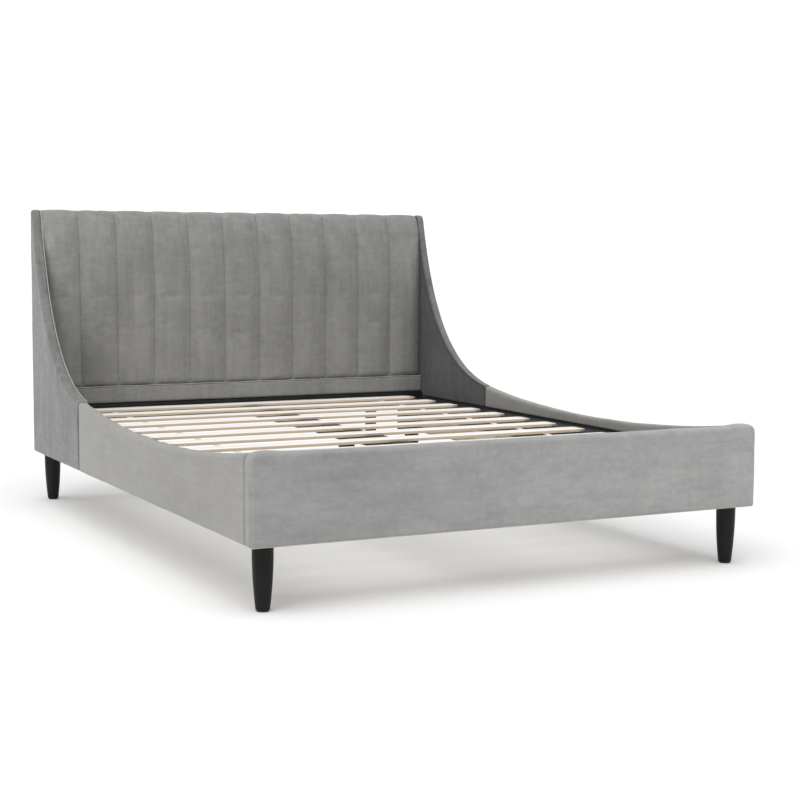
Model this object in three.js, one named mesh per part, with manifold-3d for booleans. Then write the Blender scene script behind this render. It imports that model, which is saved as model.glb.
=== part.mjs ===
// Upholstered wingback platform bed with low sweeping side rails and a slatted deck.
// Millimetres, +Z up, +Y towards the headboard, origin at the middle of the footprint on the floor.
import * as THREE from 'three';
import { mergeVertices } from 'three/addons/utils/BufferGeometryUtils.js';
import Module from 'manifold-3d';

const wasm = await Module();
wasm.setup();

// ---------------------------------------------------------------- driving dimensions

const WIDTH = 1660;
const LENGTH = 2212;
const HEIGHT = 1096;
const PANEL_BOTTOM = 181;
const FOOT_TOP = 430;
const SIDE_THICKNESS = 34;
const FOOT_THICKNESS = 45;
const WING_DEPTH = 616;
const WING_JOINT_HEIGHT = 423;
const HEADBOARD_DEPTH = 90;
const GAP = 0.3;

// upholstery: foam and fabric over the boards
const COVER = 5;
const SOFT_EDGE = 4;
const INNER_COVER_BOTTOM = 343;
const CHANNEL_SEAMS = 10;
const CHANNEL_PITCH = 145.6;
const CHANNEL_SHIFT = -6;
const CHANNEL_BOTTOM = 425;
const BAND_BOTTOM = 360;
const BAND_SETBACK = 3;
const CHANNEL_ROUNDING = 5;

// side curves, as Bezier handles: distance from the back and height
const WING_TOP_WIDTH = 32;
const SWEEP_UPPER = [111, 741];
const SWEEP_LOWER = [261, 479];
const DIP_REAR = [868, 378];
const DIP_FRONT = [1528, 334];
const FOOT_CORNER = 14;

// the pad stands upright to LEAN_START, then leans back: distance behind its front, and height
const LEAN_START = 780;
const LEAN_LOWER = [0, 960];
const LEAN_UPPER = [36, HEIGHT];
const LEAN_DEPTH = 76;

// headboard frame
const BACK_COVER = 3;
const TIMBER = 22;
const BOARD = 6;
const STILE_WIDTH = 40;
const STILE_X = 594;
const HEAD_RAIL_HEIGHT = 60;
const TOP_PADDING = 38;
const REAR_BLOCK_SIZE = [70, 80];

// deck
const SLAT_TOP = 345;
const SLAT_COUNT = 12;
const SLAT_PITCH = 180;
const SLAT_WIDTH = 70;
const SLAT_THICKNESS = 10;
const SLAT_LENGTH = 1440;
const SLAT_EASING = 3;
const FIRST_SLAT_Y = 966;
const RIBBON_WIDTH = 20;
const RIBBON_THICKNESS = 1.2;
const RIBBON_INSET = 157;
const LEDGER_WIDTH = 100;
const LEDGER_HEIGHT = 88;
const LEDGER_STEEL = 3;
const HEAD_LEDGER_PROUD = 4;
const HEAD_LEDGER_TOP = 358;
const HEAD_LEDGER_BOTTOM = 300;

// centre support
const BEAM_WIDTH = 70;
const BEAM_HEIGHT = 30;
const TUBE_WALL = 2;
const HANGER_PLATE = 3;
const HANGER_REACH = 60;
const HANGER_FLANGE = 120;
const SUPPORT_Y = 70;
const SUPPORT_SIDE = 42;
const SUPPORT_BOTTOM = 24;
const SUPPORT_INSERT = 20;
const SUPPORT_PLATE = [66, 110, 3];
const STEM_RADIUS = 5;
const STEM_TOP = 84;
const PAD_RADIUS = 20;
const PAD_HEIGHT = 9;

// corner legs
const LEG_TOP_RADIUS = 29.5;
const LEG_BOTTOM_RADIUS = 19.5;
const LEG_FULLNESS = 2.2;
const LEG_INSET_X = 60;
const LEG_INSET_FRONT = 65;
const LEG_INSET_REAR = 50;
const GLIDE_HEIGHT = 4;
const GLIDE_RADIUS = 17;
const BOLT_RADIUS = 4;
const BOLT_BOTTOM = 130;
const BOLT_TOP = 225;
const BLOCK_SIZE = [70, 70, 60];

// wing-to-rail joint plate
const PLATE_SIZE = [3, 160, 50];
const PLATE_Z = 190;

// ---------------------------------------------------------------- derived places

const HALF_W = WIDTH / 2;
const HALF_L = LENGTH / 2;
const SIDE_INNER = HALF_W - SIDE_THICKNESS;
const FOOT_INNER = -HALF_L + FOOT_THICKNESS;
const WING_FRONT = HALF_L - WING_DEPTH;
const HEAD_FRONT = HALF_L - HEADBOARD_DEPTH;
const FRAME_BACK = HALF_L - BACK_COVER - GAP;
const FRAME_FRONT = FRAME_BACK - TIMBER;
const BOARD_FRONT = FRAME_FRONT - GAP - BOARD;
const PAD_BACK = BOARD_FRONT - GAP;
const INNER_HALF_W = SIDE_INNER - GAP;
const CORE_INNER = SIDE_INNER + COVER + GAP;
const CORE_OUTER = HALF_W - COVER - GAP;
const FITTING_X = CORE_INNER - GAP;
const FOOT_CORE_INNER = FOOT_INNER - COVER - GAP;
const FRAME_TOP = HEIGHT - TOP_PADDING - GAP;
const SLAT_BOTTOM = SLAT_TOP - SLAT_THICKNESS;
const BEARING_TOP = SLAT_BOTTOM - GAP;
const HEAD_LEDGER_FRONT = HEAD_FRONT - HEAD_LEDGER_PROUD;
const BEAM_BOTTOM = BEARING_TOP - BEAM_HEIGHT;
const LEG_TOP = PANEL_BOTTOM - GAP;
const LEG_BOTTOM = GLIDE_HEIGHT + GAP;
const LEG_X = HALF_W - LEG_INSET_X;
const LEG_FRONT_Y = LEG_INSET_FRONT - HALF_L;
const LEG_REAR_Y = HALF_L - LEG_INSET_REAR;

// ---------------------------------------------------------------- materials

const paint = (color, roughness, metalness = 0) =>
  new THREE.MeshStandardMaterial({ color, roughness, metalness });
const velvet = () => paint(0x8f8f8c, 0.85);
const board = () => paint(0xb9966b, 0.7);
const pine = () => paint(0xd9bd8f, 0.6);
const slatWood = () => paint(0xeee8dc, 0.6);
const blackWood = () => paint(0x1f1f20, 0.4);
const blackSteel = () => paint(0x18191b, 0.4, 0.7);
const zincSteel = () => paint(0xaeb1b4, 0.35, 0.9);
const nylon = () => paint(0x2a2a2b, 0.6);
const webbing = () => paint(0xe8e6e0, 0.9);

// ---------------------------------------------------------------- solids

const bed = new THREE.Group();

function toSolid(geometry) {
  const bare = geometry.clone();
  bare.deleteAttribute('normal');
  bare.deleteAttribute('uv');
  const merged = mergeVertices(bare, 1e-4);
  const mesh = new wasm.Mesh({
    numProp: 3,
    vertProperties: new Float32Array(merged.attributes.position.array),
    triVerts: new Uint32Array(merged.index.array),
  });
  return new wasm.Manifold(mesh);
}

function toGeometry(solid) {
  const mesh = solid.getMesh();
  const geometry = new THREE.BufferGeometry();
  geometry.setAttribute('position', new THREE.BufferAttribute(new Float32Array(mesh.vertProperties), 3));
  geometry.setIndex(new THREE.BufferAttribute(new Uint32Array(mesh.triVerts), 1));
  geometry.computeVertexNormals();
  return geometry;
}

function cut(geometry, ...tools) {
  const solid = tools.reduce((body, tool) => body.subtract(toSolid(tool)), toSolid(geometry));
  return toGeometry(solid);
}

function join(...geometries) {
  return toGeometry(geometries.map(toSolid).reduce((body, next) => body.add(next)));
}

function add(name, geometry, material) {
  const mesh = new THREE.Mesh(geometry, material);
  mesh.name = name;
  bed.add(mesh);
}

// a box between two corners
function boxBetween([x0, y0, z0], [x1, y1, z1]) {
  const geometry = new THREE.BoxGeometry(x1 - x0, y1 - y0, z1 - z0);
  geometry.translate((x0 + x1) / 2, (y0 + y1) / 2, (z0 + z1) / 2);
  return geometry;
}

// extrudes an outline by a depth, with its two rims eased
function extruded(shape, depth, easing, curveSegments) {
  const geometry = new THREE.ExtrudeGeometry(shape, {
    depth: depth - 2 * easing,
    curveSegments,
    bevelEnabled: easing > 0,
    bevelThickness: easing,
    bevelSize: easing,
    bevelOffset: -easing,
    bevelSegments: 2,
  });
  geometry.translate(0, 0, easing);
  return geometry;
}

// an outline drawn in the YZ plane, extruded from x0 to x1
function extrudeAcross(shape, x0, x1, easing = 0, curveSegments = 20) {
  const geometry = extruded(shape, x1 - x0, easing, curveSegments);
  // the outline's x, y and depth become y, z and x
  geometry.applyMatrix4(new THREE.Matrix4().set(0, 0, 1, x0, 1, 0, 0, 0, 0, 1, 0, 0, 0, 0, 0, 1));
  return geometry;
}

// an outline drawn in the XZ plane, extruded from y0 to y1
function extrudeAlong(shape, y0, y1, easing = 0, curveSegments = 4) {
  const geometry = extruded(shape, y1 - y0, easing, curveSegments);
  geometry.rotateX(Math.PI / 2);
  geometry.translate(0, y1, 0);
  return geometry;
}

// turns a radius and height profile about the vertical through x, y
function turned(profile, x, y, segments = 32) {
  const points = profile.map(([r, z]) => new THREE.Vector2(r, z));
  const geometry = new THREE.LatheGeometry(points, segments);
  geometry.rotateX(Math.PI / 2);
  geometry.translate(x, y, 0);
  return geometry;
}

// ---------------------------------------------------------------- outlines

// the wing's front edge sweeps from a narrow top down into the rail; inset shrinks the outline evenly
function wingShape(inset = 0, bottom = PANEL_BOTTOM) {
  const back = HALF_L - inset;
  const top = HEIGHT - inset;
  const front = WING_FRONT + inset;
  const shape = new THREE.Shape();
  shape.moveTo(front, bottom);
  shape.lineTo(back, bottom);
  shape.lineTo(back, top);
  shape.lineTo(HALF_L - WING_TOP_WIDTH + inset, top);
  shape.bezierCurveTo(
    HALF_L - SWEEP_UPPER[0] + inset, SWEEP_UPPER[1] - inset,
    HALF_L - SWEEP_LOWER[0] + inset, SWEEP_LOWER[1] - inset,
    front, WING_JOINT_HEIGHT - inset,
  );
  shape.closePath();
  return shape;
}

// the rail carries the sweep on, dips towards the middle and rises to the footboard
function railShape(inset = 0, bottom = PANEL_BOTTOM) {
  const back = WING_FRONT - GAP - inset;
  const front = FOOT_INNER + GAP + inset;
  const shape = new THREE.Shape();
  shape.moveTo(front, bottom);
  shape.lineTo(back, bottom);
  shape.lineTo(back, WING_JOINT_HEIGHT - inset);
  shape.bezierCurveTo(
    HALF_L - DIP_REAR[0], DIP_REAR[1] - inset,
    HALF_L - DIP_FRONT[0], DIP_FRONT[1] - inset,
    front, FOOT_TOP - inset,
  );
  shape.closePath();
  return shape;
}

// the footboard seen from the foot end: a low rectangle with rounded top corners
function footShape(inset = 0, bottom = PANEL_BOTTOM) {
  const side = HALF_W - inset;
  const top = FOOT_TOP - inset;
  const radius = FOOT_CORNER - inset;
  const shape = new THREE.Shape();
  shape.moveTo(-side, bottom);
  shape.lineTo(side, bottom);
  shape.absarc(side - radius, top - radius, radius, 0, Math.PI / 2);
  shape.absarc(radius - side, top - radius, radius, Math.PI / 2, Math.PI);
  shape.closePath();
  return shape;
}

// side view of the pad: a tall front slab that rolls over the frame's top to the back
function padShape(inset = 0) {
  const front = HEAD_FRONT + inset;
  const top = HEIGHT - inset;
  const under = HEIGHT - TOP_PADDING;
  const shape = new THREE.Shape();
  shape.moveTo(front, CHANNEL_BOTTOM);
  shape.lineTo(PAD_BACK, CHANNEL_BOTTOM);
  shape.lineTo(PAD_BACK, under);
  shape.lineTo(HALF_L, under);
  shape.lineTo(HALF_L, top);
  shape.lineTo(front + LEAN_DEPTH, top);
  shape.bezierCurveTo(
    front + LEAN_UPPER[0], LEAN_UPPER[1] - inset,
    front + LEAN_LOWER[0], LEAN_LOWER[1] - inset,
    front, LEAN_START - inset,
  );
  shape.closePath();
  return shape;
}

// a rounded bar seen from its end, centred on y
function slatShape(y) {
  const half = SLAT_WIDTH / 2 - SLAT_EASING;
  const low = SLAT_BOTTOM + SLAT_EASING;
  const high = SLAT_TOP - SLAT_EASING;
  const quarter = Math.PI / 2;
  const shape = new THREE.Shape();
  shape.absarc(y + half, low, SLAT_EASING, -quarter, 0);
  shape.absarc(y + half, high, SLAT_EASING, 0, quarter);
  shape.absarc(y - half, high, SLAT_EASING, quarter, 2 * quarter);
  shape.absarc(y - half, low, SLAT_EASING, 2 * quarter, 3 * quarter);
  shape.closePath();
  return shape;
}

// ---------------------------------------------------------------- headboard

function headboard() {
  const railBottom = HEAD_LEDGER_BOTTOM;
  const railTop = railBottom + HEAD_RAIL_HEIGHT;
  const postTop = FRAME_TOP - HEAD_RAIL_HEIGHT - GAP;
  add('headboard_top_rail', boxBetween(
    [-INNER_HALF_W, FRAME_FRONT, postTop + GAP],
    [INNER_HALF_W, FRAME_BACK, FRAME_TOP],
  ), pine());
  const lap = FRAME_FRONT + TIMBER / 2;
  const notches = [];
  for (const [word, x] of [['left', -STILE_X], ['right', STILE_X]]) {
    const [x0, x1] = [x - STILE_WIDTH / 2, x + STILE_WIDTH / 2];
    notches.push(boxBetween(
      [x0 - GAP, lap - GAP, railBottom - 1],
      [x1 + GAP, FRAME_BACK + 1, railTop + 1],
    ));
    const stile = boxBetween([x0, FRAME_FRONT, PANEL_BOTTOM + GAP], [x1, FRAME_BACK, postTop]);
    const housing = boxBetween(
      [x0 - 1, FRAME_FRONT - 1, railBottom - GAP],
      [x1 + 1, lap, railTop + GAP],
    );
    add(`headboard_stile_${word}`, cut(stile, housing), blackWood());
  }
  const bottomRail = boxBetween(
    [-INNER_HALF_W, FRAME_FRONT, railBottom],
    [INNER_HALF_W, FRAME_BACK, railTop],
  );
  add('headboard_bottom_rail', cut(bottomRail, ...notches), pine());
  const [blockX, blockY] = REAR_BLOCK_SIZE;
  for (const [word, x0] of [['left', -INNER_HALF_W], ['right', INNER_HALF_W - blockX]]) {
    const block = boxBetween(
      [x0, FRAME_BACK - blockY, PANEL_BOTTOM + GAP],
      [x0 + blockX, FRAME_BACK, railBottom - GAP],
    );
    add(`rear_block_${word}`, cut(block, boltHole(Math.sign(x0) * LEG_X, LEG_REAR_Y)), blackWood());
  }
  add('headboard_board', boxBetween(
    [-INNER_HALF_W, BOARD_FRONT, railBottom],
    [INNER_HALF_W, BOARD_FRONT + BOARD, FRAME_TOP],
  ), board());
  add('headboard_back_cover', boxBetween(
    [-INNER_HALF_W, HALF_L - BACK_COVER, railBottom],
    [INNER_HALF_W, HALF_L, FRAME_TOP],
  ), velvet());
  add('headboard_lower_band', boxBetween(
    [-INNER_HALF_W, HEAD_FRONT + BAND_SETBACK, BAND_BOTTOM],
    [INNER_HALF_W, PAD_BACK, CHANNEL_BOTTOM - GAP],
  ), velvet());
  add('headboard_channel_pad', channelPad(), velvet());
  add('head_ledger', boxBetween(
    [-INNER_HALF_W, HEAD_LEDGER_FRONT, HEAD_LEDGER_BOTTOM],
    [INNER_HALF_W, PAD_BACK, HEAD_LEDGER_TOP],
  ), blackWood());
}

// vertical channels side by side, each with rounded rims, on one common sheet of foam
function channelPad() {
  const sheet = extrudeAcross(padShape(CHANNEL_ROUNDING), -INNER_HALF_W + 1, INNER_HALF_W - 1, 0, 8);
  const firstSeam = CHANNEL_SHIFT - (CHANNEL_PITCH * (CHANNEL_SEAMS - 1)) / 2;
  const seams = Array.from({ length: CHANNEL_SEAMS }, (_, i) => firstSeam + i * CHANNEL_PITCH);
  const rims = [-INNER_HALF_W, ...seams, INNER_HALF_W];
  const channels = rims.slice(1).map((rim, i) => (
    extrudeAcross(padShape(), rims[i], rim, CHANNEL_ROUNDING, 8)
  ));
  return join(sheet, ...channels);
}

// ---------------------------------------------------------------- wings, rails and footboard

// a board with a soft shell round it: open along the bottom, and bare inside below the mattress line
function sidePanel(name, side, shapeOf, bareEnd) {
  const at = (a, b) => [Math.min(side * a, side * b), Math.max(side * a, side * b)];
  const word = side < 0 ? 'left' : 'right';
  const shell = extrudeAcross(shapeOf(), ...at(SIDE_INNER, HALF_W), SOFT_EDGE);
  const slot = extrudeAcross(shapeOf(COVER, PANEL_BOTTOM - 10), ...at(SIDE_INNER + COVER, HALF_W - COVER));
  const [x0, x1] = at(SIDE_INNER - 1, SIDE_INNER + COVER + 1);
  const bare = boxBetween([x0, -HALF_L, PANEL_BOTTOM - 10], [x1, bareEnd, INNER_COVER_BOTTOM]);
  add(`${name}_cover_${word}`, cut(shell, slot, bare), velvet());
  const core = extrudeAcross(shapeOf(COVER + GAP, PANEL_BOTTOM + GAP), ...at(CORE_INNER, CORE_OUTER));
  add(`${name}_core_${word}`, core, board());
}

function footboard() {
  const [y0, y1] = [-HALF_L, FOOT_INNER];
  const shell = extrudeAlong(footShape(), y0, y1, SOFT_EDGE);
  const slot = extrudeAlong(footShape(COVER, PANEL_BOTTOM - 10), y0 + COVER, y1 - COVER);
  const bare = boxBetween(
    [-CORE_INNER, y1 - COVER - 1, PANEL_BOTTOM - 10],
    [CORE_INNER, y1 + 1, INNER_COVER_BOTTOM],
  );
  add('footboard_cover', cut(shell, slot, bare), velvet());
  const core = footShape(COVER + GAP, PANEL_BOTTOM + GAP);
  add('footboard_core', extrudeAlong(core, y0 + COVER + GAP, FOOT_CORE_INNER), board());
}

// steel angles that carry the slat ends, the plates across the wing joints and the front corner blocks
function sideFittings() {
  for (const [word, side] of [['left', -1], ['right', 1]]) {
    const x = (depth) => [side * FITTING_X, side * (FITTING_X - depth)].sort((a, b) => a - b);
    const [shelf0, shelf1] = x(LEDGER_WIDTH);
    const [web0, web1] = x(LEDGER_STEEL);
    const [ledgerFoot, ledgerHead] = [FOOT_CORE_INNER + GAP, HEAD_LEDGER_FRONT - GAP];
    add(`slat_ledger_${word}`, join(
      boxBetween([shelf0, ledgerFoot, BEARING_TOP - LEDGER_STEEL], [shelf1, ledgerHead, BEARING_TOP]),
      boxBetween([web0, ledgerFoot, BEARING_TOP - LEDGER_HEIGHT], [web1, ledgerHead, BEARING_TOP]),
    ), blackSteel());
    const [plate0, plate1] = x(PLATE_SIZE[0]);
    add(`joint_plate_${word}`, boxBetween(
      [plate0, WING_FRONT - PLATE_SIZE[1] / 2, PLATE_Z],
      [plate1, WING_FRONT + PLATE_SIZE[1] / 2, PLATE_Z + PLATE_SIZE[2]],
    ), zincSteel());
    const [block0, block1] = x(BLOCK_SIZE[0]);
    const block = boxBetween(
      [block0, FOOT_CORE_INNER + GAP, PANEL_BOTTOM + GAP],
      [block1, FOOT_CORE_INNER + GAP + BLOCK_SIZE[1], PANEL_BOTTOM + GAP + BLOCK_SIZE[2]],
    );
    add(`corner_block_${word}`, cut(block, boltHole(side * LEG_X, LEG_FRONT_Y)), pine());
  }
}

// ---------------------------------------------------------------- deck

function deck() {
  for (let i = 0; i < SLAT_COUNT; i += 1) {
    const shape = slatShape(FIRST_SLAT_Y - i * SLAT_PITCH);
    const slat = extrudeAcross(shape, -SLAT_LENGTH / 2, SLAT_LENGTH / 2, 0, 3);
    add(`slat_${String(i + 1).padStart(2, '0')}`, slat, slatWood());
  }
  const lastSlatY = FIRST_SLAT_Y - (SLAT_COUNT - 1) * SLAT_PITCH;
  const ribbonX = SLAT_LENGTH / 2 - RIBBON_INSET;
  for (const [word, side] of [['left', -1], ['right', 1]]) {
    add(`slat_ribbon_${word}`, boxBetween(
      [side * ribbonX - RIBBON_WIDTH / 2, lastSlatY - SLAT_WIDTH / 4, BEARING_TOP - RIBBON_THICKNESS],
      [side * ribbonX + RIBBON_WIDTH / 2, FIRST_SLAT_Y + SLAT_WIDTH / 4, BEARING_TOP],
    ), webbing());
  }
}

// ---------------------------------------------------------------- centre support

function centreBeam() {
  const [y0, y1] = [FOOT_CORE_INNER + HANGER_PLATE + 2 * GAP, HEAD_LEDGER_FRONT - HANGER_PLATE - 2 * GAP];
  const half = BEAM_WIDTH / 2;
  const beam = boxBetween([-half, y0, BEAM_BOTTOM], [half, y1, BEARING_TOP]);
  const bore = boxBetween(
    [TUBE_WALL - half, y0 - 1, BEAM_BOTTOM + TUBE_WALL],
    [half - TUBE_WALL, y1 + 1, BEARING_TOP - TUBE_WALL],
  );
  add('centre_beam', cut(beam, bore), blackSteel());
  add('beam_hanger_foot', hanger(FOOT_CORE_INNER + GAP, 1), blackSteel());
  add('beam_hanger_head', hanger(HEAD_LEDGER_FRONT - GAP, -1), blackSteel());
}

// a folded steel bracket: a flange against the board and a saddle under and beside the beam's end
function hanger(faceY, away) {
  const clear = BEAM_WIDTH / 2 + GAP;
  const outer = clear + HANGER_PLATE;
  const low = BEAM_BOTTOM - GAP - HANGER_PLATE;
  const high = BEARING_TOP - HANGER_PLATE;
  const span = (reach) => [faceY, faceY + away * reach].sort((a, b) => a - b);
  const [flange0, flange1] = span(HANGER_PLATE);
  const [reach0, reach1] = span(HANGER_REACH);
  return join(
    boxBetween([-HANGER_FLANGE / 2, flange0, low], [HANGER_FLANGE / 2, flange1, high]),
    boxBetween([-outer, reach0, low], [outer, reach1, low + HANGER_PLATE]),
    boxBetween([-outer, reach0, low], [-clear, reach1, high]),
    boxBetween([clear, reach0, low], [outer, reach1, high]),
  );
}

// a square tube leg with a threaded insert at the bottom, on a screw foot that levels it
function centreSupport() {
  const y = SUPPORT_Y;
  const half = SUPPORT_SIDE / 2;
  const top = BEAM_BOTTOM - GAP;
  const [plateX, plateY, plateZ] = SUPPORT_PLATE;
  const column = join(
    boxBetween([-half, y - half, SUPPORT_BOTTOM], [half, y + half, top]),
    boxBetween([-plateX / 2, y - plateY / 2, top - plateZ], [plateX / 2, y + plateY / 2, top]),
  );
  const wall = half - TUBE_WALL;
  const hollow = boxBetween(
    [-wall, y - wall, SUPPORT_BOTTOM + SUPPORT_INSERT],
    [wall, y + wall, top - plateZ],
  );
  const thread = pillar(STEM_RADIUS + GAP, SUPPORT_BOTTOM - 1, SUPPORT_BOTTOM + SUPPORT_INSERT + 1, 0, y);
  add('centre_leg', cut(column, hollow, thread), blackSteel());
  add('levelling_foot', turned([
    [0, 0],
    [PAD_RADIUS - 1, 0],
    [PAD_RADIUS, 1],
    [PAD_RADIUS, PAD_HEIGHT - 3],
    [STEM_RADIUS + 3, PAD_HEIGHT],
    [STEM_RADIUS, PAD_HEIGHT],
    [STEM_RADIUS, STEM_TOP - 1],
    [STEM_RADIUS - 1, STEM_TOP],
    [0, STEM_TOP],
  ], 0, y, 24), nylon());
}

// ---------------------------------------------------------------- corner legs

// a round bar or hole between two heights
function pillar(radius, z0, z1, x, y) {
  return turned([[0, z0], [radius, z0], [radius, z1], [0, z1]], x, y, 20);
}

function boltHole(x, y) {
  return pillar(BOLT_RADIUS + GAP, PANEL_BOTTOM - 1, BOLT_TOP + 2, x, y);
}

// a gently swelling taper: full at the top, narrowing faster towards the floor
function legRadius(z) {
  const drop = (LEG_TOP - z) / (LEG_TOP - LEG_BOTTOM);
  return LEG_TOP_RADIUS - (LEG_TOP_RADIUS - LEG_BOTTOM_RADIUS) * drop ** LEG_FULLNESS;
}

function cornerLeg(x, y) {
  const steps = 9;
  const side = Array.from({ length: steps + 1 }, (_, i) => {
    const z = LEG_BOTTOM + ((LEG_TOP - LEG_BOTTOM) * i) / steps;
    return [legRadius(z), z];
  });
  const profile = [[0, LEG_BOTTOM], ...side, [0, LEG_TOP]];
  const hole = pillar(BOLT_RADIUS + GAP, BOLT_BOTTOM - 2, LEG_TOP + 1, x, y);
  return cut(turned(profile, x, y, 32), hole);
}

function cornerLegs() {
  for (const [end, y] of [['front', LEG_FRONT_Y], ['rear', LEG_REAR_Y]]) {
    for (const [word, x] of [['left', -LEG_X], ['right', LEG_X]]) {
      add(`leg_${end}_${word}`, cornerLeg(x, y), blackWood());
      add(`leg_bolt_${end}_${word}`, pillar(BOLT_RADIUS, BOLT_BOTTOM, BOLT_TOP, x, y), zincSteel());
      add(`glide_${end}_${word}`, turned([
        [0, 0],
        [GLIDE_RADIUS - 1, 0],
        [GLIDE_RADIUS, 1],
        [GLIDE_RADIUS, GLIDE_HEIGHT],
        [0, GLIDE_HEIGHT],
      ], x, y, 24), nylon());
    }
  }
}

headboard();
for (const side of [-1, 1]) {
  sidePanel('wing', side, wingShape, HEAD_FRONT);
  sidePanel('rail', side, railShape, HALF_L);
}
footboard();
sideFittings();
deck();
centreBeam();
centreSupport();
cornerLegs();

export default bed;
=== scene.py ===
"""Looks for an upholstered wingback bed: channelled headboard, sweeping wings and rails, slatted deck."""

import math

import bmesh
import bpy
import numpy as np
from mathutils import Matrix, Vector, noise


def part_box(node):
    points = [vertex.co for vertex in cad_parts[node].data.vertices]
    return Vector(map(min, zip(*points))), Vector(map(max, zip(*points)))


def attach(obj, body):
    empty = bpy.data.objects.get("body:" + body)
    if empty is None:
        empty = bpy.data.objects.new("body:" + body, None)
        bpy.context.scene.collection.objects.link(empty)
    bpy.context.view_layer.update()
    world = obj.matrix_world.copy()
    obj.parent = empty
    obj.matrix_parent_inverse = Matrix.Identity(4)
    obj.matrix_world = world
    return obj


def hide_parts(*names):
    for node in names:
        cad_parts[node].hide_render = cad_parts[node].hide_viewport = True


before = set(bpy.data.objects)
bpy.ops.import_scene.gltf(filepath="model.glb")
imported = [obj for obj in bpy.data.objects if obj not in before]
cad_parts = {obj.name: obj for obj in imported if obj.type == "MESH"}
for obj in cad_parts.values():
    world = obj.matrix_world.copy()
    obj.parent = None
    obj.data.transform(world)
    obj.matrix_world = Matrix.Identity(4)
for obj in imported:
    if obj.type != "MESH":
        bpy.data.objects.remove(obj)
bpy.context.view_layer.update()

# ------------------------------------------------ dimensions shared with the CAD source, in metres

HALF_W = 0.830
HALF_L = 1.106
HEIGHT = 1.096
PANEL_BOTTOM = 0.181
FOOT_TOP = 0.430
SIDE_INNER = 0.796
FOOT_INNER = -1.061
WING_FRONT = 0.490
WING_TOP_WIDTH = 0.032
JOINT_HEIGHT = 0.423
HEAD_FRONT = 1.016
GAP = 0.0003
COVER = 0.005
INNER_COVER_BOTTOM = 0.343
CHANNEL_SEAMS = 10
CHANNEL_PITCH = 0.1456
CHANNEL_SHIFT = -0.006
CHANNEL_BOTTOM = 0.425
PAD_BACK = 1.074
TOP_PADDING = 0.038
SEAM_DEPTH = 0.017

# the pad's lean: distance behind its front, and height, of each Bezier handle
LEAN = [(0.0, 0.780), (0.0, 0.960), (0.036, HEIGHT), (0.076, HEIGHT)]

# side curves: distance from the back and height of each Bezier handle
SWEEP = [(0.111, 0.741), (0.261, 0.479)]
DIP = [(0.868, 0.378), (1.528, 0.334)]

# ------------------------------------------------ camera


def place_camera():
    yaw, pitch, roll = (math.radians(a) for a in (27.176, 5.521, 0.355))
    ahead = Vector((
        math.sin(yaw) * math.cos(pitch),
        math.cos(yaw) * math.cos(pitch),
        -math.sin(pitch),
    ))
    level = ahead.cross(Vector((0, 0, 1))).normalized()
    upright = level.cross(ahead)
    right = level * math.cos(roll) + upright * math.sin(roll)
    up = upright * math.cos(roll) - level * math.sin(roll)
    data = bpy.data.cameras.new("camera")
    data.sensor_width = 36
    data.lens = 72.73
    camera = bpy.data.objects.new("camera", data)
    bpy.context.scene.collection.objects.link(camera)
    pose = Matrix((right, up, -ahead)).transposed().to_4x4()
    pose.translation = (-2.3804, -4.9705, 0.9775)
    camera.matrix_world = pose
    bpy.context.scene.camera = camera


place_camera()

# ------------------------------------------------ materials


class Paint:
    """A Principled material, with short calls for adding the nodes that vary it."""

    def __init__(self, name, color, roughness, **sockets):
        self.material = bpy.data.materials.new(name)
        self.material.use_nodes = True
        self.tree = self.material.node_tree
        self.shader = self.tree.nodes["Principled BSDF"]
        self.shader.inputs["Base Color"].default_value = (*color, 1)
        self.shader.inputs["Roughness"].default_value = roughness
        for socket, value in sockets.items():
            self.shader.inputs[socket.replace("_", " ")].default_value = value
        self.place = self.add("ShaderNodeTexCoord").outputs["Object"]

    def add(self, kind, inputs=None, **settings):
        made = self.tree.nodes.new(kind)
        for key, value in settings.items():
            setattr(made, key, value)
        for key, value in (inputs or {}).items():
            if isinstance(value, bpy.types.NodeSocket):
                self.tree.links.new(value, made.inputs[key])
            else:
                made.inputs[key].default_value = value
        return made

    def stretched(self, scale):
        return self.add("ShaderNodeMapping", {"Vector": self.place, "Scale": scale}).outputs[0]

    def noise(self, scale, detail=2, rough=0.5, at=None, distortion=0.0):
        return self.add("ShaderNodeTexNoise", {
            "Vector": at or self.place,
            "Scale": scale,
            "Detail": detail,
            "Roughness": rough,
            "Distortion": distortion,
        }).outputs["Fac"]

    def range(self, value, low, high, to_low, to_high):
        return self.add("ShaderNodeMapRange", {
            "Value": value,
            "From Min": low,
            "From Max": high,
            "To Min": to_low,
            "To Max": to_high,
        }).outputs[0]

    def math(self, operation, a, b):
        return self.add("ShaderNodeMath", {0: a, 1: b}, operation=operation).outputs[0]

    def ramp(self, value, *stops):
        made = self.add("ShaderNodeValToRGB", {"Fac": value})
        elements = made.color_ramp.elements
        while len(elements) < len(stops):
            elements.new(0.5)
        for element, (position, color) in zip(elements, stops):
            element.position = position
            element.color = (*color, 1)
        return made.outputs[0]

    def across(self, vector):
        return self.add("ShaderNodeSeparateXYZ", {0: vector}).outputs["X"]

    def blend(self, factor, a, b):
        made = self.add("ShaderNodeMix", {"Factor": factor}, data_type="RGBA")
        # an RGBA Mix node keeps its colour sockets after the float and vector ones
        self.tree.links.new(a, made.inputs[6])
        self.tree.links.new(b, made.inputs[7])
        return made.outputs[2]

    def bump(self, height, strength, distance, under=None):
        inputs = {"Height": height, "Strength": strength, "Distance": distance}
        if under is not None:
            inputs["Normal"] = under
        return self.add("ShaderNodeBump", inputs).outputs[0]

    def use(self, **sockets):
        for socket, value in sockets.items():
            self.tree.links.new(value, self.shader.inputs[socket.replace("_", " ")])
        return self.material


def shade(color, factor):
    return tuple(c * factor for c in color)


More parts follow.
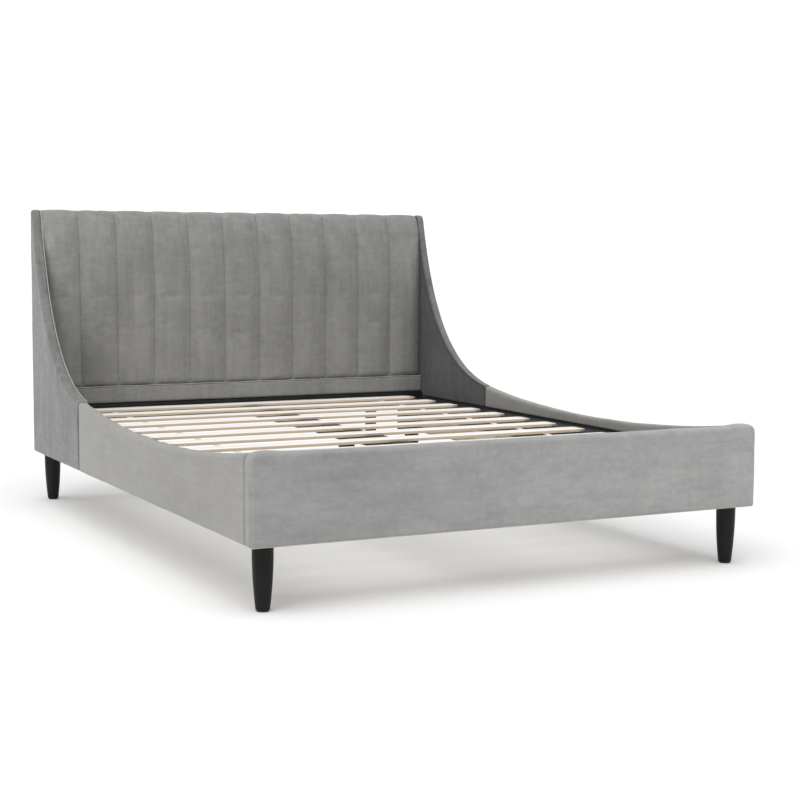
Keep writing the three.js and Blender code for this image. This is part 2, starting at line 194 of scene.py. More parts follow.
def velvet(name, color, brushed, inward_shade=1.0, contrast=0.14, painted_light_drift=None):
    """Short-pile velvet: cloudy nap, faint streaks brushed along one axis, crossed slubs and fine marks.

    inward is painted shade: how much darker the faces that look into the bed are painted.
    drift is painted light and shade: the tone at the left and right ends of a wide panel, scaled evenly in
    between.
    """
    paint = Paint(name, color, 0.82, Sheen_Weight=0.35, Sheen_Roughness=0.45, Specular_IOR_Level=0.2)
    clouds = paint.noise(3.4, 4, 0.55, distortion=0.8)
    streaks = paint.noise(1.0, 4, 0.65, at=paint.stretched(brushed))
    slubs = paint.noise(1.0, 3, 0.7, at=paint.stretched((13, 13, 75)))
    marks = paint.noise(46, 4, 0.7, distortion=0.6)
    nap = paint.math("ADD", paint.math("MULTIPLY", clouds, 0.3), paint.math("MULTIPLY", streaks, 0.3))
    nap = paint.math("ADD", nap, paint.math("MULTIPLY", slubs, 0.15))
    nap = paint.math("ADD", nap, paint.math("MULTIPLY", marks, 0.25))
    low, high = 1 - contrast, 1 + contrast
    tone = paint.ramp(nap, (0.40, shade(color, low)), (0.5, color), (0.60, shade(color, high)))
    # painted shade: a darker copy of the velvet on the faces that look into the bed
    if inward_shade < 1:
        inward_shade_color = shade(color, inward_shade)
        dark = paint.ramp(nap, (0.40, shade(inward_shade_color, low)), (0.5, inward_shade_color), (0.60, shade(inward_shade_color, high)))
        facing = paint.add("ShaderNodeNewGeometry").outputs["Normal"]
        towards = paint.math("MULTIPLY", paint.across(facing), paint.across(paint.place))
        tone = paint.blend(paint.range(towards, -0.55, -0.1, 1, 0), tone, dark)
    # painted light and shade: the tone is scaled from one end of the panel to the other
    if painted_light_drift:
        wide = paint.range(paint.across(paint.place), -HALF_W, HALF_W, *painted_light_drift)
        tone = paint.add("ShaderNodeVectorMath", {0: tone, "Scale": wide}, operation="SCALE").outputs[0]
    pile = paint.bump(paint.noise(900, 2, 0.7), 0.25, 0.0006)
    soft = paint.bump(paint.noise(60, 3, 0.55), 0.15, 0.004, under=pile)
    return paint.use(Base_Color=tone, Roughness=paint.range(nap, 0.3, 0.7, 0.9, 0.74), Normal=soft)


def wood(name, light, dark, grain, roughness=0.6):
    """Planed timber with its grain stretched along one axis."""
    paint = Paint(name, light, roughness, Specular_IOR_Level=0.35)
    at = paint.stretched(grain)
    rings = paint.noise(1.0, 5, 0.6, at=at, distortion=1.2)
    fine = paint.noise(6.0, 4, 0.7, at=at)
    mixed = paint.math("ADD", paint.math("MULTIPLY", rings, 0.7), paint.math("MULTIPLY", fine, 0.3))
    tone = paint.ramp(mixed, (0.32, dark), (0.52, light), (0.75, shade(light, 1.03)))
    return paint.use(
        Base_Color=tone,
        Roughness=paint.range(fine, 0.3, 0.7, roughness + 0.12, roughness - 0.08),
        Normal=paint.bump(fine, 0.25, 0.0008),
    )


def slat_wood():
    """Pale plywood slats: bleached faces, tan laminated edges."""
    face, knot, edge = (0.84, 0.83, 0.805), (0.75, 0.71, 0.65), (0.68, 0.54, 0.39)
    paint = Paint("slat_wood", face, 0.55, Specular_IOR_Level=0.35)
    at = paint.stretched((3, 60, 60))
    rings = paint.noise(1.0, 5, 0.6, at=at, distortion=1.0)
    fine = paint.noise(7.0, 3, 0.7, at=at)
    top = paint.ramp(rings, (0.3, knot), (0.55, face), (0.8, shade(face, 1.04)))
    plies = paint.add("ShaderNodeTexWave", {
        "Vector": paint.place, "Scale": 160.0, "Distortion": 0.6, "Detail": 2.0,
    }, wave_type="BANDS", bands_direction="Z").outputs["Fac"]
    side = paint.ramp(plies, (0.2, shade(edge, 0.86)), (0.8, edge))
    normal = paint.add("ShaderNodeNewGeometry").outputs["Normal"]
    tilt = paint.add("ShaderNodeSeparateXYZ", {0: normal}).outputs["Z"]
    steepness = paint.add("ShaderNodeMath", {0: tilt}, operation="ABSOLUTE").outputs[0]
    flat = paint.range(steepness, 0.45, 0.8, 0, 1)
    return paint.use(
        Base_Color=paint.blend(flat, side, top),
        Roughness=paint.range(fine, 0.3, 0.7, 0.66, 0.48),
        Normal=paint.bump(fine, 0.2, 0.0006),
    )


def lacquer(name, color, roughness, orange_peel=0.06, level=0.3):
    """Sprayed black finish with a faint orange peel and dusty, rubbed patches."""
    paint = Paint(name, color, roughness, Specular_IOR_Level=level)
    wear = paint.noise(9, 4, 0.6)
    peel = paint.bump(paint.noise(320, 2, 0.5), orange_peel, 0.0008)
    tone = paint.ramp(wear, (0.35, shade(color, 0.8)), (0.7, shade(color, 1.5)))
    return paint.use(
        Base_Color=tone,
        Roughness=paint.range(wear, 0.3, 0.7, roughness + 0.1, roughness - 0.06),
        Normal=peel,
    )


def zinc():
    """Bright zinc plate with a mottled crystalline cast."""
    color = (0.50, 0.51, 0.52)
    paint = Paint("zinc_steel", color, 0.35, Metallic=1.0)
    spangle = paint.add("ShaderNodeTexVoronoi", {"Vector": paint.place, "Scale": 260.0}).outputs["Distance"]
    tone = paint.ramp(spangle, (0.1, shade(color, 0.85)), (0.7, shade(color, 1.1)))
    return paint.use(Base_Color=tone, Roughness=paint.range(spangle, 0, 0.8, 0.28, 0.42))


def moulded(name, color):
    """Moulded nylon with a fine spark-eroded texture."""
    paint = Paint(name, color, 0.55, Specular_IOR_Level=0.4)
    grain = paint.noise(700, 2, 0.6)
    tone = paint.ramp(paint.noise(30, 3), (0.3, shade(color, 0.85)), (0.7, shade(color, 1.2)))
    return paint.use(Base_Color=tone, Normal=paint.bump(grain, 0.2, 0.0003))


def woven(name, light, dark, pitch):
    """A plain weave: warp and weft as two crossed sets of bands."""
    paint = Paint(name, light, 0.85, Sheen_Weight=0.1)
    across, along = (
        paint.add("ShaderNodeTexWave", {
            "Vector": paint.place, "Scale": pitch, "Distortion": 0.3, "Detail": 1.0,
        }, wave_type="BANDS", bands_direction=axis).outputs["Fac"]
        for axis in ("X", "Y")
    )
    threads = paint.math("MULTIPLY", across, along)
    tone = paint.ramp(threads, (0.1, dark), (0.7, light))
    return paint.use(Base_Color=tone, Normal=paint.bump(threads, 0.4, 0.0004))


def felt(name, color):
    """Black non-woven lining with its spot-bonded dimples."""
    paint = Paint(name, color, 0.95, Sheen_Weight=0.15)
    dimples = paint.add("ShaderNodeTexVoronoi", {"Vector": paint.place, "Scale": 330.0}).outputs["Distance"]
    tone = paint.ramp(dimples, (0.15, shade(color, 0.6)), (0.5, color))
    return paint.use(Base_Color=tone, Normal=paint.bump(dimples, 0.35, 0.0005))


def floor_paint():
    paint = Paint("pale_floor", (0.86, 0.86, 0.86), 0.75, Specular_IOR_Level=0.1)
    tone = paint.ramp(paint.noise(0.8, 2), (0.3, (0.855, 0.855, 0.855)), (0.7, (0.865, 0.865, 0.865)))
    return paint.use(Base_Color=tone)


# one velvet throughout with painted light in its tones: the headboard a little darker and the wings much
# darker as painted shade, the piping lighter as a painted highlight; the inward and drift values add painted
# light and shade across the panels
GREY = (0.270, 0.267, 0.257)
HEAD_VELVET = velvet("velvet_headboard", shade(GREY, 0.92), (34, 34, 3.0), contrast=0.17, painted_light_drift=(1.03, 0.92))
SHADED_WING_VELVET = velvet("velvet_wings", shade((0.268, 0.268, 0.263), 0.62), (24, 24, 5), 0.39, contrast=0.30)
RAIL_VELVET = velvet("velvet_rails", (0.272, 0.266, 0.252), (9, 3.0, 30), 0.97, contrast=0.10)
FOOT_VELVET = velvet("velvet_footboard", (0.272, 0.271, 0.268), (5, 16, 16), contrast=0.15, painted_light_drift=(1.0, 1.24))
HIGHLIT_PIPING_VELVET = velvet("velvet_piping", shade(GREY, 1.30), (30, 30, 30))
PINE = wood("pine", (0.66, 0.47, 0.26), (0.50, 0.32, 0.15), (4, 45, 45))
BOARD = wood("board", (0.62, 0.50, 0.35), (0.52, 0.40, 0.27), (22, 6, 22), 0.7)
SLAT = slat_wood()
LEG_LACQUER = lacquer("black_wood", (0.0062, 0.0062, 0.0066), 0.42, level=0.2)
STRUT_BLACK = lacquer("black_wood_rough", (0.012, 0.012, 0.013), 0.6, 0.15)
POWDER_COAT = lacquer("black_steel", (0.012, 0.012, 0.014), 0.5, 0.25)
ZINC = zinc()
NYLON = moulded("nylon", (0.028, 0.028, 0.03))
WEBBING = woven("webbing", (0.80, 0.79, 0.76), (0.55, 0.53, 0.50), 250)
LINING = felt("black_lining", (0.014, 0.014, 0.015))
THREAD = woven("thread", (0.20, 0.20, 0.195), (0.10, 0.10, 0.10), 900)
STAPLE = Paint("staple_steel", (0.52, 0.52, 0.53), 0.35, Metallic=1.0)
STAPLE = STAPLE.use(Roughness=STAPLE.range(STAPLE.noise(400), 0.3, 0.7, 0.3, 0.5))

# ------------------------------------------------ mesh helpers


def piece(name, verts, faces, material, slot, replaces=()):
    """A mesh object that rides on the frame and stands for CAD nodes."""
    data = bpy.data.meshes.new(name)
    data.from_pydata([tuple(v) for v in verts], [], faces)
    return dress(data, name, material, replaces)


def dress(data, name, material, replaces=()):
    shell = bmesh.new()
    shell.from_mesh(data)
    bmesh.ops.recalc_face_normals(shell, faces=shell.faces)
    shell.to_mesh(data)
    shell.free()
    data.name = name
    data.materials.clear()
    data.materials.append(material)
    data.polygons.foreach_set("use_smooth", [True] * len(data.polygons))
    obj = bpy.data.objects.new(name, data)
    bpy.context.scene.collection.objects.link(obj)
    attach(obj, "frame")
    if replaces:
        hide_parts(*replaces)
    return obj


def modified(data, *modifiers):
    """The mesh after a stack of (type, settings) modifiers."""
    holder = bpy.data.objects.new("holder", data)
    bpy.context.scene.collection.objects.link(holder)
    for kind, settings in modifiers:
        made = holder.modifiers.new(kind, kind)
        for key, value in settings.items():
            setattr(made, key, value)
    graph = bpy.context.evaluated_depsgraph_get()
    result = bpy.data.meshes.new_from_object(holder.evaluated_get(graph))
    bpy.data.objects.remove(holder)
    return result


def bezier(p0, p1, p2, p3, steps):
    t = np.linspace(0, 1, steps + 1)[:, None]
    points = (
        (1 - t) ** 3 * np.array(p0)
        + 3 * (1 - t) ** 2 * t * np.array(p1)
        + 3 * (1 - t) * t * t * np.array(p2)
        + t**3 * np.array(p3)
    )
    return points.tolist()


def resampled(points, step):
    """Evenly spaced points round a closed polyline."""
    p = np.array(points + points[:1], float)
    lengths = np.linalg.norm(np.diff(p, axis=0), axis=1)
    along = np.concatenate([[0], np.cumsum(lengths)])
    count = max(3, round(along[-1] / step))
    at = np.linspace(0, along[-1], count + 1)[:-1]
    return np.stack([np.interp(at, along, p[:, k]) for k in range(p.shape[1])], axis=1)


def rounded_off(loop, corner, radius, step):
    """Relaxes a closed loop near one corner until it has about that radius."""
    near = np.clip(1.6 - np.linalg.norm(loop - np.array(corner), axis=1) / (1.25 * radius), 0, 1)[:, None]
    for _ in range(max(2, round(0.9 * (radius / step) ** 2))):
        middle = (np.roll(loop, 1, axis=0) + np.roll(loop, -1, axis=0)) / 2
        loop = loop + 0.5 * near * (middle - loop)
    return loop


def inset(loop, distance):
    """A closed counter-clockwise loop moved inwards."""
    ahead = np.roll(loop, -1, axis=0) - loop
    ahead /= np.linalg.norm(ahead, axis=1)[:, None]
    normal = np.stack([-ahead[:, 1], ahead[:, 0]], axis=1)
    before = np.roll(normal, 1, axis=0)
    bisector = (normal + before) / (1 + np.sum(normal * before, axis=1))[:, None]
    ring = loop + bisector * distance
    # points that a tight corner has turned inside out go to the nearest sound one
    reach = np.linalg.norm(ring[:, None] - loop[None], axis=2).min(axis=1)
    sound = ring[reach >= 0.97 * distance]
    nearest = np.linalg.norm(ring[:, None] - sound[None], axis=2).argmin(axis=1)
    return sound[nearest]


def skin(count, rings):
    """Faces of a solid through rings of count points each, with a cap at each end."""
    faces = [
        (i * count + k, i * count + (k + 1) % count, (i + 1) * count + (k + 1) % count, (i + 1) * count + k)
        for i in range(rings - 1)
        for k in range(count)
    ]
    last = (rings - 1) * count
    return [*faces, tuple(range(count))[::-1], tuple(range(last, last + count))]


def quads(columns, rows):
    """Faces of an open sheet of points, given column by column."""
    return [
        (i * rows + k, (i + 1) * rows + k, (i + 1) * rows + k + 1, i * rows + k + 1)
        for i in range(columns - 1)
        for k in range(rows - 1)
    ]


def stacked(layers, to3d):
    """A closed solid through a stack of (loop, depth) layers."""
    verts = [to3d(p, depth) for loop, depth in layers for p in loop]
    data = bpy.data.meshes.new("stack")
    data.from_pydata(verts, [], skin(len(layers[0][0]), len(layers)))
    return data


def rounded_layers(loop, near, far, near_radius, far_radius, steps=4):
    """Layers from one face to the other, with each rim rounded by its own radius."""
    direction = 1 if far > near else -1

    def rim(radius, angle):
        ring = inset(loop, radius * (1 - math.sin(angle)))
        # the lower rim keeps a small radius, so that the fabric still hides the board behind it
        rise = ring[:, 1] - floor
        lowered = floor + rise * np.clip(rise / (2 * radius), 0.3, 1)
        ring[:, 1] = np.where(rise < 2 * radius, lowered, ring[:, 1])
        return ring

    floor = loop[:, 1].min()
    layers = []
    for k in range(steps + 1):
        a = math.pi / 2 * k / steps
        layers.append((rim(near_radius, a), near + direction * near_radius * (1 - math.cos(a))))
    for k in range(steps, -1, -1):
        a = math.pi / 2 * k / steps
        layers.append((rim(far_radius, a), far - direction * far_radius * (1 - math.cos(a))))
    return layers


def box_mesh(low, high):
    data = bpy.data.meshes.new("box")
    shell = bmesh.new()
    bmesh.ops.create_cube(shell, size=1)
    for v in shell.verts:
        v.co = [low[k] + (v.co[k] + 0.5) * (high[k] - low[k]) for k in range(3)]
    shell.to_mesh(data)
    shell.free()
    return data


def hollowed(data, *tools):
    """The mesh with each tool mesh cut away."""
    cutters = []
    for tool in tools:
        cutter = bpy.data.objects.new("cutter", tool)
        bpy.context.scene.collection.objects.link(cutter)
        cutters.append(cutter)
    bpy.context.view_layer.update()
    for cutter in cutters:
        data = modified(data, ("BOOLEAN", {"operation": "DIFFERENCE", "solver": "EXACT", "object": cutter}))
    for cutter in cutters:
        bpy.data.objects.remove(cutter)
    return data


def coordinates(data):
    co = np.empty(len(data.vertices) * 3)
    data.vertices.foreach_get("co", co)
    return co.reshape(-1, 3)


def moved(data, offsets):
    data.vertices.foreach_set("co", (coordinates(data) + offsets).ravel())
    data.update()


def normals(data):
    found = np.empty(len(data.vertices) * 3)
    data.vertex_normals.foreach_get("vector", found)
    return found.reshape(-1, 3)


def ripples(points, scale, seed, stretch=(1, 1, 1)):
    """Smooth noise between -1 and 1 at each point."""
    at = points * scale * np.array(stretch) + seed
    return np.array([noise.noise(Vector(p)) for p in at])


def padded_solid(layers, to3d, seed, slack=0.0010):
    """A softened closed form: rims rounded, surface fairly even with a little slack in the fabric."""
    data = modified(
        stacked(layers, to3d),
        ("REMESH", {"mode": "VOXEL", "voxel_size": 0.005}),
        ("SMOOTH", {"factor": 0.5, "iterations": 3}),
    )
    co, n = coordinates(data), normals(data)
    sag = ripples(co, 5.5, seed) + 0.35 * ripples(co, 17, seed + 9) + 0.12 * ripples(co, 55, seed + 3)
    moved(data, n * (slack * sag)[:, None])
    return data


def tube(path, radius, sides=8):
    """Vertices and faces of a round tube along points."""
    p = np.array(path, float)
    ahead = np.roll(p, -1, axis=0) - np.roll(p, 1, axis=0)
    ahead[0], ahead[-1] = p[1] - p[0], p[-1] - p[-2]
    verts, side = [], None
    for point, direction in zip(p, ahead):
        d = Vector(direction).normalized()
        if side is None:
            side = d.orthogonal().normalized()
        side = (side - d * side.dot(d)).normalized()
        up = d.cross(side)
        for k in range(sides):
            a = 2 * math.pi * k / sides
            verts.append(Vector(point) + (side * math.cos(a) + up * math.sin(a)) * radius)
    return verts, skin(sides, len(p))


def gathered(parts):
    """Several (verts, faces) as one."""
    verts, faces = [], []
    for part_verts, part_faces in parts:
        base = len(verts)
        verts += list(part_verts)
        faces += [tuple(i + base for i in f) for f in part_faces]
    return verts, faces


def dense_box(low, high, bevel, cuts):
    """Vertices and faces of a bar along its longest side, as rounded sections."""
    spans = [high[k] - low[k] for k in range(3)]
    run = spans.index(max(spans))
    u, v = [k for k in range(3) if k != run]
    corners = [(1, 1, 0), (-1, 1, 90), (-1, -1, 180), (1, -1, 270)]
    section = []
    for su, sv, start in corners:
        cu = (low[u] + high[u]) / 2 + su * (spans[u] / 2 - bevel)
        cv = (low[v] + high[v]) / 2 + sv * (spans[v] / 2 - bevel)
        for k in range(3):
            a = math.radians(start + 45 * k)
            section.append((cu + bevel * math.cos(a), cv + bevel * math.sin(a)))
    verts = []
    for i in range(cuts + 1):
        at = low[run] + spans[run] * i / cuts
        for a, b in section:
            p = [0.0, 0.0, 0.0]
            p[run], p[u], p[v] = at, a, b
            verts.append(p)
    return verts, skin(len(section), cuts + 1)


# ------------------------------------------------ outlines of the side panels, as (y, z) loops

STEP = 0.005
TOP_CLEARANCE = 0.006
OVERCUT = 0.02


def wing_outline(d=0.0, bottom=PANEL_BOTTOM):
    # inside the cover the top is lower, so that it stays clear of the rounded top corners
    top = HEIGHT - d - (TOP_CLEARANCE if d else 0)
    sweep = bezier(
        (HALF_L - WING_TOP_WIDTH + d, top),
        (HALF_L - SWEEP[0][0] + d, SWEEP[0][1] - d),
        (HALF_L - SWEEP[1][0] + d, SWEEP[1][1] - d),
        (WING_FRONT + d, JOINT_HEIGHT - d),
        60,
    )
    return [[WING_FRONT + d, bottom], [HALF_L - d, bottom], [HALF_L - d, top], *sweep]


def rail_outline(d=0.0, bottom=PANEL_BOTTOM):
    back, front = WING_FRONT - GAP - d, FOOT_INNER + GAP + d
    dip = bezier(
        (back, JOINT_HEIGHT - d),
        (HALF_L - DIP[0][0], DIP[0][1] - d),
        (HALF_L - DIP[1][0], DIP[1][1] - d),
        (front, FOOT_TOP - d),
        60,
    )
    return [[front, bottom], [back, bottom], *dip]


def foot_outline(d=0.0, bottom=PANEL_BOTTOM):
    side, top = HALF_W - d, FOOT_TOP - d
    return [[-side, bottom], [side, bottom], [side, top], [-side, top]]


def soft_loop(outline, corners):
    loop = resampled(outline, STEP)
    for corner, radius in corners:
        loop = rounded_off(loop, corner, radius, STEP)
    return loop


def across(p, depth):
    return (depth, p[0], p[1])


def along(p, depth):
    return (p[0], depth, p[1])


def flat_prism(loop, near, far, to3d):
    return stacked([(np.array(loop), near), (np.array(loop), far)], to3d)


# ------------------------------------------------ wings and rails


def side_cover(name, word, side, outline, corners, rims, bare_end, material, seed):
    """A padded cover with its board inside, bare towards the bed below the mattress line."""
    loop = soft_loop(outline(), corners)
    data = padded_solid(rounded_layers(loop, side * HALF_W, side * SIDE_INNER, *rims), across, seed)
    below = PANEL_BOTTOM - OVERCUT
    cavity = flat_prism(outline(COVER, below), side * (HALF_W - COVER), side * (SIDE_INNER + COVER), across)
    x0, x1 = sorted((side * (SIDE_INNER - OVERCUT), side * (SIDE_INNER + COVER + 0.002)))
    bare = box_mesh((x0, -HALF_L, below), (x1, bare_end, INNER_COVER_BOTTOM))
    cover = hollowed(data, cavity, bare)
    obj = dress(cover, f"{name}_upholstery_{word}", material, (f"{name}_cover_{word}",))
    inner = resampled(outline(COVER + GAP, PANEL_BOTTOM + GAP), STEP)
    outer_x, inner_x = side * (HALF_W - COVER - GAP), side * (SIDE_INNER + COVER + GAP)
    board = modified(
        flat_prism(inner, outer_x, inner_x, across),
        ("REMESH", {"mode": "VOXEL", "voxel_size": 0.006}),
    )
    dress(board, f"{name}_board_{word}", BOARD, (f"{name}_core_{word}",))
    return loop


def welt_path(loop, side):
    """The swept part of a wing's outline, which carries the welt on the wing's inner rim."""
    path = []
    for y, z in inset(loop, 0.0012):
        if y < HALF_L - 0.01 and z > JOINT_HEIGHT - 0.004:
            path.append((side * (SIDE_INNER + 0.0008), y, z))
        elif path:
            break
    return path


def ordered(loop, start):
    """The loop as a list that starts at the point nearest to start."""
    first = int(np.argmin(np.linalg.norm(loop - np.array(start), axis=1)))
    return np.roll(loop, -first, axis=0)


WING_CORNERS = [
    ((HALF_L, HEIGHT), 0.011),
    ((HALF_L - WING_TOP_WIDTH, HEIGHT), 0.016),
    ((WING_FRONT, JOINT_HEIGHT), 0.005),
    ((WING_FRONT, PANEL_BOTTOM), 0.005),
    ((HALF_L, PANEL_BOTTOM), 0.006),
]
RAIL_CORNERS = [
    ((WING_FRONT, JOINT_HEIGHT), 0.008),
    ((FOOT_INNER, FOOT_TOP), 0.006),
    ((WING_FRONT, PANEL_BOTTOM), 0.005),
    ((FOOT_INNER, PANEL_BOTTOM), 0.005),
]
# radius of the outer and of the inner rim
WING_RIMS = (0.009, 0.004)
RAIL_RIMS = (0.009, 0.008)

for word, side in (("left", -1), ("right", 1)):
    wing_loop = side_cover(
        "wing", word, side, wing_outline, WING_CORNERS, WING_RIMS, HEAD_FRONT, SHADED_WING_VELVET, 11.3 + side,
    )
    side_cover("rail", word, side, rail_outline, RAIL_CORNERS, RAIL_RIMS, HALF_L, RAIL_VELVET, 23.7 + side)
    wing_run = ordered(wing_loop, (HALF_L - WING_TOP_WIDTH, HEIGHT))
    wing_path = welt_path(wing_run, side)
    # painted light: the left wing's welt is the lighter one, a painted highlight, and the right one has the
    # darker tone of its wing, painted shade
    painted_light_welt = HIGHLIT_PIPING_VELVET if side < 0 else SHADED_WING_VELVET
    piece(f"wing_welt_{word}", *tube(wing_path, 0.0021), painted_light_welt, "velvet")

# ------------------------------------------------ footboard


def footboard():
    """The padded footboard, a little fuller near its ends and folded down each end."""
    loop = soft_loop(foot_outline(), [
        ((HALF_W, FOOT_TOP), 0.026), ((-HALF_W, FOOT_TOP), 0.026),
        ((HALF_W, PANEL_BOTTOM), 0.008), ((-HALF_W, PANEL_BOTTOM), 0.008),
    ])
    layers = rounded_layers(loop, -HALF_L, FOOT_INNER, 0.012, 0.008)
    data = padded_solid(layers, along, seed=4.1, slack=0.0013)
    co = coordinates(data)
    reach = HALF_W - np.abs(co[:, 0])
    lift = 0.006 * np.exp(-(((reach - 0.045) / 0.05) ** 2)) * np.clip((co[:, 2] - 0.33) / 0.1, 0, 1)
    front = np.clip((-HALF_L + 0.010 - co[:, 1]) / 0.008, 0, 1)
    fold = 0.0016 * np.exp(-(((reach - 0.019 + 0.002 * np.sin(23 * co[:, 2])) / 0.005) ** 2)) * front
    moved(data, np.stack([np.zeros_like(lift), fold, lift], axis=1))
    below = PANEL_BOTTOM - OVERCUT
    cavity = flat_prism(foot_outline(COVER, below), -HALF_L + COVER, FOOT_INNER - COVER, along)
    bare = box_mesh(
        (-SIDE_INNER - COVER, FOOT_INNER - COVER - 0.002, below),
        (SIDE_INNER + COVER, FOOT_INNER + OVERCUT, INNER_COVER_BOTTOM),
    )
    cover = hollowed(data, cavity, bare)
    obj = dress(cover, "footboard_upholstery", FOOT_VELVET, ("footboard_cover",))


footboard()

# ------------------------------------------------ headboard channels


def pad_profile():
    """(y, z) of the pad's outer face: up the front, over the lean and down to the back hem."""
    upright = [(HEAD_FRONT, z) for z in (CHANNEL_BOTTOM, 0.427, 0.430, 0.434, 0.440, 0.447)]
    upright += [(HEAD_FRONT, z) for z in np.linspace(0.455, LEAN[0][1], 38)]
    lean = [(HEAD_FRONT + back, z) for back, z in bezier(*LEAN, 30)[1:]]
    crest = [(y, HEIGHT) for y in np.linspace(lean[-1][0], HALF_L - 0.006, 4)[1:]]
    hem = [(HALF_L - 0.002, HEIGHT - 0.002), (HALF_L, HEIGHT - 0.006)]
    hem += [(HALF_L, z) for z in np.linspace(HEIGHT - 0.012, HEIGHT - TOP_PADDING + 0.0005, 4)]
    return upright + lean + crest + hem


def pad_columns():
    """x of each column of the pad, and how far across its channel it is, from 0 to 1."""
    edge = SIDE_INNER - GAP - 0.0005
    first = CHANNEL_SHIFT - CHANNEL_PITCH * (CHANNEL_SEAMS - 1) / 2
    rims = [-edge, *(first + k * CHANNEL_PITCH for k in range(CHANNEL_SEAMS)), edge]
    shares = [0, 0.012, 0.03, 0.065, 0.12, 0.2, 0.29, 0.39, 0.5, 0.61, 0.71, 0.8, 0.88, 0.935, 0.97, 0.988]
    columns = [(a + (b - a) * s, s) for a, b in zip(rims, rims[1:]) for s in shares]
    return [*columns, (edge, 1)], rims


SETTLE_FRAMES = 24
SHRINK = -0.006
PRESSURE = 1.5
LARGEST_SHIFT = 0.003


def inflate(data, pinned):
    """Blows up a sheet with Blender's cloth, held at the pinned vertices."""
    sheet = bpy.data.objects.new("sheet", data)
    bpy.context.scene.collection.objects.link(sheet)
    group = sheet.vertex_groups.new(name="held")
    group.add([int(i) for i in pinned], 1.0, "REPLACE")
    cloth = sheet.modifiers.new("cloth", "CLOTH")
    cloth.settings.quality = 6
    cloth.settings.mass = 0.3
    cloth.settings.tension_stiffness = 25
    cloth.settings.compression_stiffness = 25
    cloth.settings.shear_stiffness = 10
    cloth.settings.bending_stiffness = 1.2
    cloth.settings.tension_damping = 15
    cloth.settings.compression_damping = 15
    cloth.settings.air_damping = 4
    cloth.settings.shrink_min = SHRINK
    cloth.settings.use_pressure = True
    cloth.settings.uniform_pressure_force = PRESSURE
    cloth.settings.vertex_group_mass = "held"
    cloth.settings.effector_weights.gravity = 0
    scene = bpy.context.scene
    for k in range(1, SETTLE_FRAMES + 1):
        scene.frame_set(k)
    graph = bpy.context.evaluated_depsgraph_get()
    result = bpy.data.meshes.new_from_object(sheet.evaluated_get(graph))
    bpy.data.objects.remove(sheet)
    scene.frame_set(1)
    return coordinates(result)


def channel_pad():
    """The tufted pad: crowned channels between sunk seams, swollen a little by the cloth simulation."""
    profile = np.array(pad_profile())
    columns, rims = pad_columns()
    rows, count = len(profile), len(columns)
    slope = np.gradient(profile, axis=0)
    slope /= np.linalg.norm(slope, axis=1)[:, None]
    outward = np.stack([-slope[:, 1], slope[:, 0]], axis=1)
    x = np.array([x for x, _ in columns])
    share = np.array([s for _, s in columns])
    at_rim = (share == 0) | (share == 1)
    crown = 1 - np.abs(2 * share - 1) ** 3.0
    start = np.clip((profile[:, 1] - CHANNEL_BOTTOM) / 0.026, 0, 1)
    rise = 1 - (1 - start) ** 2.4
    leaning = np.clip((profile[:, 1] - LEAN[0][1]) / (HEIGHT - LEAN[0][1]), 0, 1)
    hem = np.clip((rows - 4 - np.arange(rows)) / 6, 0, 1)
    depth = SEAM_DEPTH * (1 - 0.68 * leaning**2) * hem
    by_wing = 0.016 * np.clip((np.abs(x) - rims[-1] + 0.06) / 0.06, 0, 1) ** 2.4
    sunk = depth[None] * (1 - crown[:, None] * rise[None]) + by_wing[:, None] * (hem * (1 - leaning))[None]
    rest = np.empty((count, rows, 3))
    rest[:, :, 0] = x[:, None]
    rest[:, :, 1:] = profile[None] - outward[None] * sunk[..., None]
    points = rest.reshape(-1, 3)
    inside = (np.abs(x) < rims[-1] - 0.001).repeat(rows)
    points[:, 0] += 0.0016 * ripples(points, 3.1, 17.0, (2, 0, 1)) * inside
    slack = 0.0011 * ripples(points, 9, 51.0, (1.6, 0, 0.5)) * crown.repeat(rows) * np.tile(hem * rise, count)
    points[:, 1] += slack
    grid = quads(count, rows)
    shape = rest
    data = bpy.data.meshes.new("sheet")
    data.from_pydata(points.tolist(), [], grid)
    index = np.arange(count * rows).reshape(count, rows)
    held = set(index[at_rim].ravel()) | set(index[:, :2].ravel()) | set(index[:, -6:].ravel())
    shift = inflate(data, sorted(held)).reshape(count, rows, 3) - rest
    length = np.linalg.norm(shift, axis=2, keepdims=True)
    shape = rest + shift * np.minimum(1, LARGEST_SHIFT / np.maximum(length, 1e-9))
    back = [(PAD_BACK, CHANNEL_BOTTOM), (PAD_BACK, HEIGHT - TOP_PADDING), (HALF_L, HEIGHT - TOP_PADDING)]
    verts = shape.reshape(-1, 3).tolist()
    base = len(verts)
    for column in range(count):
        verts += [(verts[column * rows][0], y, z) for y, z in back]
    faces = list(grid)
    for i in range(count - 1):
        a, b = base + 3 * i, base + 3 * (i + 1)
        faces += [(a, a + 1, b + 1, b), (a + 1, a + 2, b + 2, b + 1)]
        faces.append((i * rows, a, b, (i + 1) * rows))
        faces.append((a + 2, i * rows + rows - 1, (i + 1) * rows + rows - 1, b + 2))
    for i, flip in ((0, 1), (count - 1, -1)):
        ring = [*range(i * rows, i * rows + rows), base + 3 * i + 2, base + 3 * i + 1, base + 3 * i]
        faces.append(tuple(ring[::flip]))
    pad = piece("headboard_channels", verts, faces, HEAD_VELVET, "velvet", ("headboard_channel_pad",))
    stitches = []
    for column in np.flatnonzero(share == 0)[1:]:
        for k in range(8, rows - 14):
            stitch_x, y, z = rest[column, k]
            stitches.append(tube([
                (stitch_x, y - 0.0004, z - 0.0028),
                (stitch_x, y - 0.0014, z),
                (stitch_x, y - 0.0004, z + 0.0028),
            ], 0.0006, 5))
    piece("channel_stitches", *gathered(stitches), THREAD, "velvet")


channel_pad()


